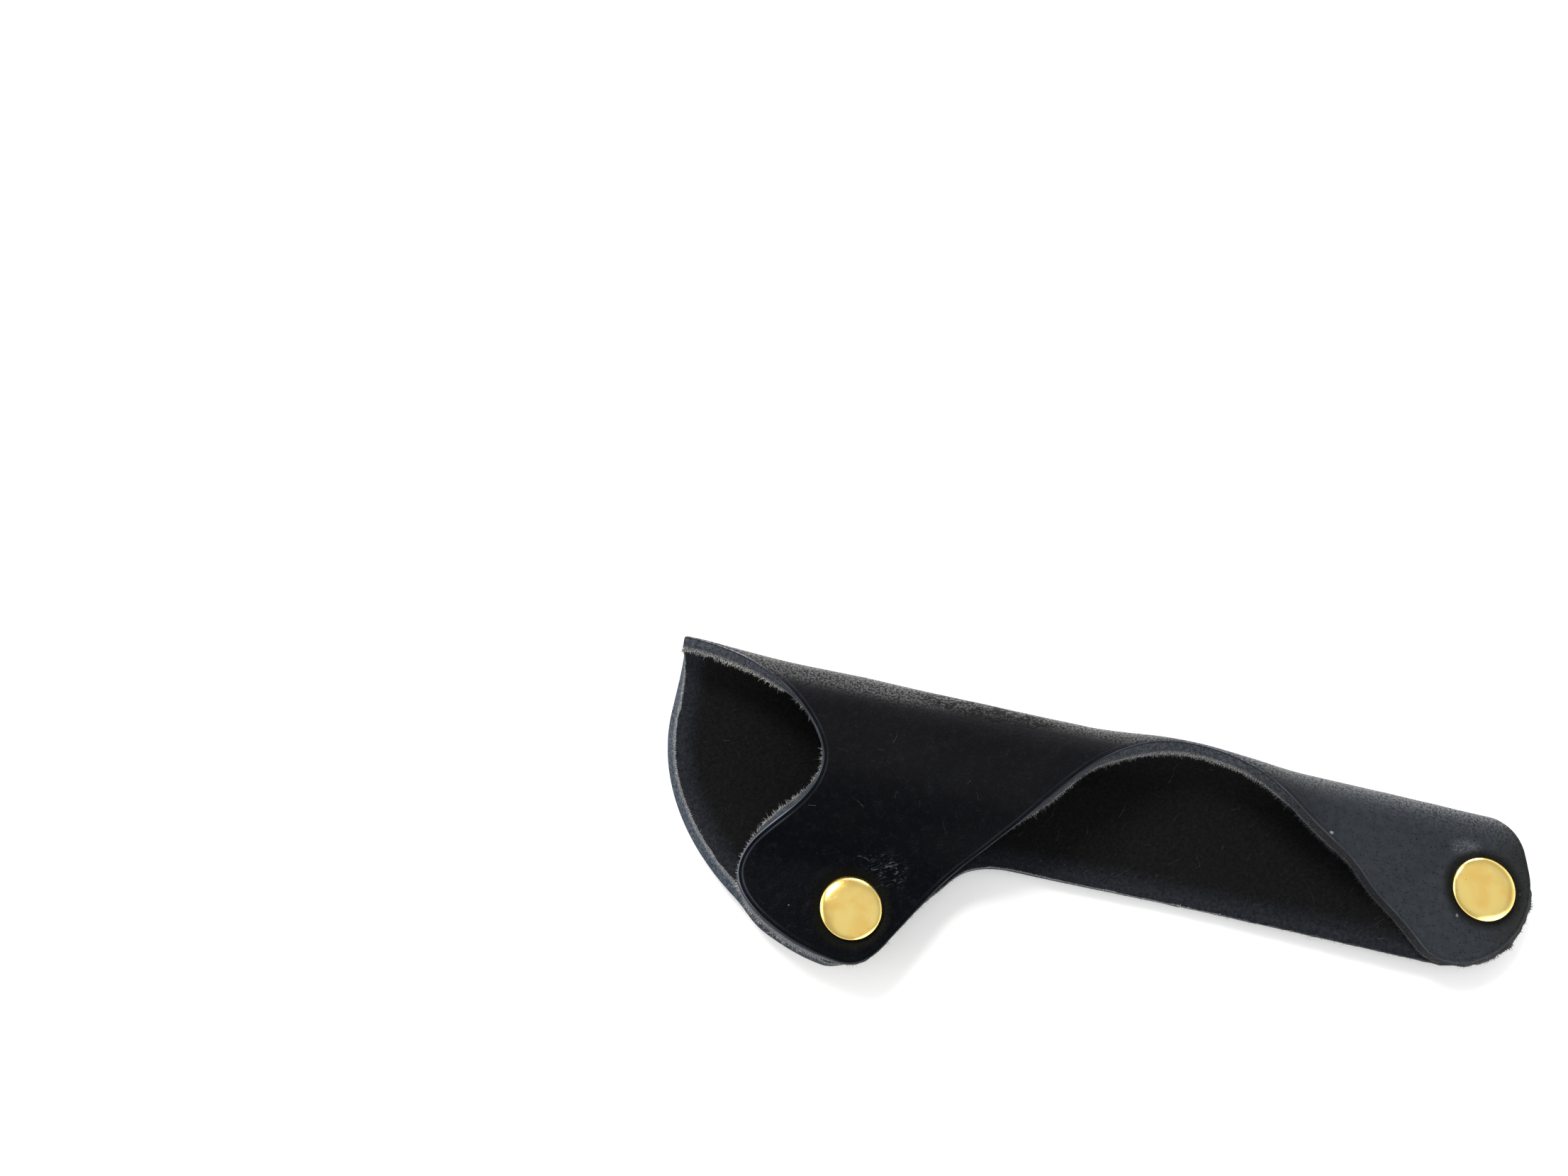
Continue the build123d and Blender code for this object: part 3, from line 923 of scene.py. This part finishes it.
scratches = 0
for turn in (0.3, 1.1, 2.0, 2.7):
    fine = ridges(noise(stretched(flat, 0.55, 4.5, turn), 1.0, 1.0, 0.4, 0.3), 0.018)
    scratches = fine * noise(flat, 0.55 + turn / 9, 1.0).between(0.5, 0.62) + scratches

# %% Colour, gloss and relief of the grain side
dye = (clouds * 0.3 + mottle * 0.7).between(0.35, 0.65)
middle_share = stripe(along, -34, -14, 16, 30)
from_fold = (round_fold - 2.0 + tip_share * 1.2) * (1 + middle_share * 0.5)
# where the fold's flank catches the far light: a painted sheen in the colour, and the coat's gloss
fold_sheen = (1 - from_fold.between(0, 6.2)) * round_fold.between(-3, 2.4)
wear_and_highlight_patches = clouds.between(0.42, 0.62) * 0.5 + 0.3
corner_share = (wear_and_highlight_patches + lobe_left * 0.4) * (1 - lobe_end * 0.6) * (1 - tip_share * 0.4)
corner_highlight_and_wear = lobe_left.colours((0.08, 0.092, 0.115), (0.15, 0.178, 0.225))
colour = painted(
    dye.colours((0.0036, 0.0036, 0.0043), (0.0042, 0.0043, 0.0052)),
    (lobe_share * 0.95, (0.0006, 0.0008, 0.0017)),
    # painted reflection: the tip is painted lighter and bluer, as the light falls on it there
    (tip_share * (mottle.between(0.25, 0.7) * 0.35 + 0.65), (0.027, 0.031, 0.037)),
    (along.between(56, 62.5) * 0.75, (0.016, 0.0165, 0.0145)),
    # painted sheen: a light grey speckle along the fold's flank
    (fold_sheen * grains.between(0.45, 0.56) * 0.5, (0.055, 0.056, 0.058)),
    ((1 - pores) * (tip_share * 0.5 + 0.2), (0.002, 0.002, 0.003)),
    # painted highlight along the rounded grain corner, in patches, partly also wear
    (corner * corner_share, corner_highlight_and_wear),
    (first_line * 0.8, (0.002, 0.002, 0.003)),
    # a lighter line inside the groove, in the same patches of wear and painted highlight
    (second_line * wear_and_highlight_patches * (0.3 + lobe_left), (0.05, 0.06, 0.076)),
    # painted shade: the creases along the fold are painted almost black
    (creases * 0.95, (0.002, 0.002, 0.002)),
    (puckers * 0.9, (0.066, 0.077, 0.092)),
    (scratches * 0.2, (0.03, 0.033, 0.04)),
    # dust specks and two grains of dust, plus the rubbed spot by the tip cap, which is also a painted
    # highlight
    (specks * 0.7 + rub_and_highlight * 0.28 + dust, (0.2, 0.21, 0.22)),
    # a dark, warm ring close round each cap: painted contact shadow, where the leather is also pressed
    (pressed_ring_and_shadow * 0.75, (0.0045, 0.0042, 0.002)),
)
dull = 0.46 + (clouds - 0.5) * 0.1 + (1 - pores) * 0.2 + (grains - 0.5) * 0.5
height = mottle * 0.022 + clouds * 0.02 + pores * 0.03 + grains * 0.075 + puckers * 0.06 - creases * 0.2
dress(shader, colour, dull, height)
connect(fold_sheen * pores * grains.between(0.43, 0.56) * (1 - creases), shader, "Coat Weight")
print("grain finish has", len(grain.node_tree.nodes), "nodes")

# %% [markdown]
# ## Cut edge, flesh side and fibres
#
# The dye goes only part of the way in, so a fresh cut is grey-blue and dull, with the fibres showing as
# fine streaks, and frayed pale where it meets the flesh side. The inside of the holder is the flesh side:
# nearly black, soft and almost without gloss. The loose fibres run from the colour of the cut to a pale
# grey.

# %% The cut face
cut, start, shader = new_finish("raw_cut_leather", Specular_IOR_Level=0.15)
where = solid_place(start)
under = stored(start, "depth_mm")
along, round_fold = where.axis(0), leather_map(start).axis(1)
streaks = noise(where, 2.2, 4.0, 0.7)
tufts = noise(where, 7.0, 2.0, 0.6)
thready = (streaks * 0.6 + tufts * 0.4).between(0.4, 0.62)
mouth_share = (1 - along.between(-50, -25)) * (1 - round_fold.between(-9, 0))
ragged_end = along.between(16, 34)
lobe_foot = round_fold.between(35, 39) * (1 - along.between(-36, -30))
colour = painted(
    thready.colours((0.014, 0.016, 0.02), (0.06, 0.065, 0.076)),
    (mouth_share * 0.8, thready.colours((0.022, 0.027, 0.037), (0.085, 0.104, 0.137))),
    (ragged_end * 0.7, (0.01, 0.009, 0.008)),
    (1 - under.between(0.25, 0.42), (0.006, 0.007, 0.01)),
    (under.between(1.4, 1.95) * tufts.between(0.4, 0.58) * (0.75 - ragged_end * 0.5), (0.26, 0.26, 0.25)),
    (lobe_foot * under.between(0.5, 1) * tufts.between(0.3, 0.55), (0.15, 0.155, 0.165)),
)
dress(shader, colour, 0.82 + tufts * 0.15, streaks * 0.14 + tufts * 0.07)

# %% The flesh side and the fibres
flesh, start, shader = new_finish("flesh_side_leather", Specular_IOR_Level=0.06)
where = solid_place(start)
nap = noise(where, 2.2, 5.0, 0.65)
down = noise(where, 11.0, 2.0, 0.6)
napped = (nap * 0.5 + down * 0.5).between(0.35, 0.7)
near_edge = 1 - stored(start, "edge_mm").between(0.5, 4.5)
# painted light: near the edge the flesh side is painted lighter (lit), where light reaches in, and further in
# it gets the darker painted shade (deep)
deep = napped.colours((0.0022, 0.0022, 0.0024), (0.01, 0.01, 0.011))
lit = napped.colours((0.005, 0.006, 0.0085), (0.03, 0.033, 0.04))
dress(shader, (near_edge * 0.8).colours(deep, lit), 0.85 + nap * 0.12, nap * 0.14 + down * 0.06)

fibre, start, shader = new_finish("loose_fibre", Specular_IOR_Level=0.2)
paleness = stored(start, "pale")
colour = paleness.between(0, 1).colours((0.02, 0.023, 0.028), (0.6, 0.59, 0.55))
dress(shader, colour, 0.6 + paleness * 0.3)
print("finishes", cut.name, flesh.name, fibre.name)

# %% [markdown]
# ## Brass
#
# The caps are polished brass that has been carried about: warm yellow, with a thin film of tarnish in
# patches, hair-fine scratches all ways, and a few pits. The base colour is the metal's own reflection. Film
# and scratches mostly change the roughness, and that is what makes a real cap look soft in its middle and
# sharp at its rim.

# %% The brass finish
brass, start, shader = new_finish("worn_brass", Metallic=1.0)
where = solid_place(start)
film = noise(where, 0.28, 3.0, 0.5, 0.4)
speckle = noise(where, 5.0, 2.0, 0.5)
pits = dots(where, 0.85, 0.05, 0.11)
smooth = 1
for turn in (0.4, 1.5, 2.6):
    smooth = noise(stretched(where, 0.35, 9.0, turn), 1.0, 2.0, 0.5).between(0.28, 0.34) * smooth
colour = painted(
    film.between(0.3, 0.62).colours((0.97, 0.65, 0.18), (1.0, 0.76, 0.25)),
    ((1 - pits) * 0.35, (0.3, 0.18, 0.05)),
)
dull = 0.13 + film * 0.08 + (1 - smooth) * 0.05
dress(shader, colour, dull, film * 0.03 + speckle * 0.0008 + smooth * 0.0008 + pits * 0.006)

# %% Every piece gets its finishes, and the carried-over posts and tubes get the brass
FINISHES = {"grain": grain, "cut": cut, "flesh": flesh, "fibre": fibre, "brass": brass}
dressed = [(sleeve, SLEEVE_FINISHES), (fibres, FIBRE_FINISHES)]
dressed += [(cap, CAP_FINISHES) for cap in caps]
for piece, names in dressed:
    for name in names:
        piece.data.materials.append(FINISHES[name])
for name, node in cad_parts.items():
    if name.endswith(("_post", "_tube")):
        for slot in node.material_slots:
            slot.material = brass
print("finishes", ", ".join(FINISHES))

# %% [markdown]
# ## Floor, light and camera
#
# The holder lies on a pale table in a bright room. A lamp beyond it to the left is the window, which throws
# the lobe's soft shadow. A wide low one behind the fold is the far wall, which gives the fold its sheen.
# The world is the white room, with two bright walls for the caps' rims to mirror and a little more light
# overhead for their middles.
#
# The camera hangs 181 mm over the table, leans 12 degrees and is turned 12 degrees against the holder.

# %% Floor, white to the camera and in mirrors
FLOOR_SPAN, FLOOR_Z = 3.0, -2e-5
corners = [(-1, -1), (1, -1), (1, 1), (-1, 1)]
floor_mesh = bpy.data.meshes.new("table_top")
floor_mesh.from_pydata([(x * FLOOR_SPAN, y * FLOOR_SPAN, FLOOR_Z) for x, y in corners], [], [(0, 1, 2, 3)])
floor = new_object("table_top", floor_mesh)
table, start, shader = new_finish("pale_table", Roughness=0.9, Specular_IOR_Level=0.1, Emission_Strength=1.0)
rays = [start.node("ShaderNodeLightPath", output=kind) for kind in ("Is Camera Ray", "Is Glossy Ray")]
shown = rays[0] + rays[1]
connect(shown.colours((0.86, 0.855, 0.84), (0.985, 0.98, 0.965)), shader, "Base Color")
connect(shown.colours((0.0, 0.0, 0.0), (0.075, 0.075, 0.075)), shader, "Emission Color")
floor_mesh.materials.append(table)
print("floor", 2 * FLOOR_SPAN, "m wide")


# %% Lamps and world
def area_lamp(name, place, target, size, power, colour):
    """A square lamp of this size in metres, turned to face the target."""
    lamp = bpy.data.lights.new(name, "AREA")
    lamp.shape, lamp.size, lamp.energy, lamp.color = "SQUARE", size, power, colour
    holder = new_object(name, lamp)
    holder.rotation_mode = "QUATERNION"
    holder.rotation_quaternion = (Vector(place) - Vector(target)).normalized().to_track_quat("Z", "Y")
    holder.location = place


def room_patch(way, low, high):
    """1 in the middle of a round patch of the room in this direction, 0 outside it."""
    return direction.vector("DOT_PRODUCT", way, output="Value").between(low, high)


area_lamp("window", (-0.75, 0.85, 1.0), (0, 0, 0), 0.5, 20.0, (1.0, 0.99, 0.97))
area_lamp("far_wall", (0.05, 1.3, 0.22), (0, 0, 0.01), 0.9, 16.0, (1.0, 1.0, 1.0))

world = bpy.data.worlds.new("white_room")
bpy.context.scene.world = world
world.use_nodes = True
background = world.node_tree.nodes["Background"]
background.inputs["Color"].default_value = (0.98, 0.99, 1.0, 1)
direction = Flow(world.node_tree, None).node("ShaderNodeTexCoord", output="Generated")
low_light = 1 - direction.axis(2).between(0.05, 0.55)
left_wall = room_patch((-0.95, -0.05, 0.30), 0.85, 0.97)
near_wall = room_patch((0.72, -0.62, 0.30), 0.88, 0.97)
ceiling = room_patch((0.25, 0.05, 0.97), 0.68, 0.94)
room = low_light * 0.9 + left_wall * 2.4 + near_wall * 3.0 + ceiling * 0.28 + 0.53
connect(room, background, "Strength")
print("world", world.name, "with", len(world.node_tree.nodes), "nodes")

# %% Camera
TILT, TURN = np.radians(12.2), np.radians(12.4)
CAMERA_PLACE = (-0.0431, -0.0143, 0.181)
LENS, SENSOR, NEAREST = 27.03, 36.0, 0.005
right = np.array([np.cos(TURN), np.sin(TURN), 0])
ahead = np.array([-np.sin(TURN), np.cos(TURN), 0])
up = ahead * np.cos(TILT) + np.array([0, 0, np.sin(TILT)])
camera_data = bpy.data.cameras.new("camera")
camera_data.sensor_width, camera_data.lens, camera_data.clip_start = SENSOR, LENS, NEAREST
camera = new_object("camera", camera_data)
pose = Matrix(np.stack([right, up, np.cross(right, up)], 1).tolist()).to_4x4()
pose.translation = CAMERA_PLACE
camera.matrix_world = pose
bpy.context.scene.camera = camera
bpy.context.scene.view_settings.view_transform = "Standard"
print("camera", CAMERA_PLACE, "m, lens", LENS, "mm")

# %% Bring the scene up to date
bpy.context.view_layer.update()
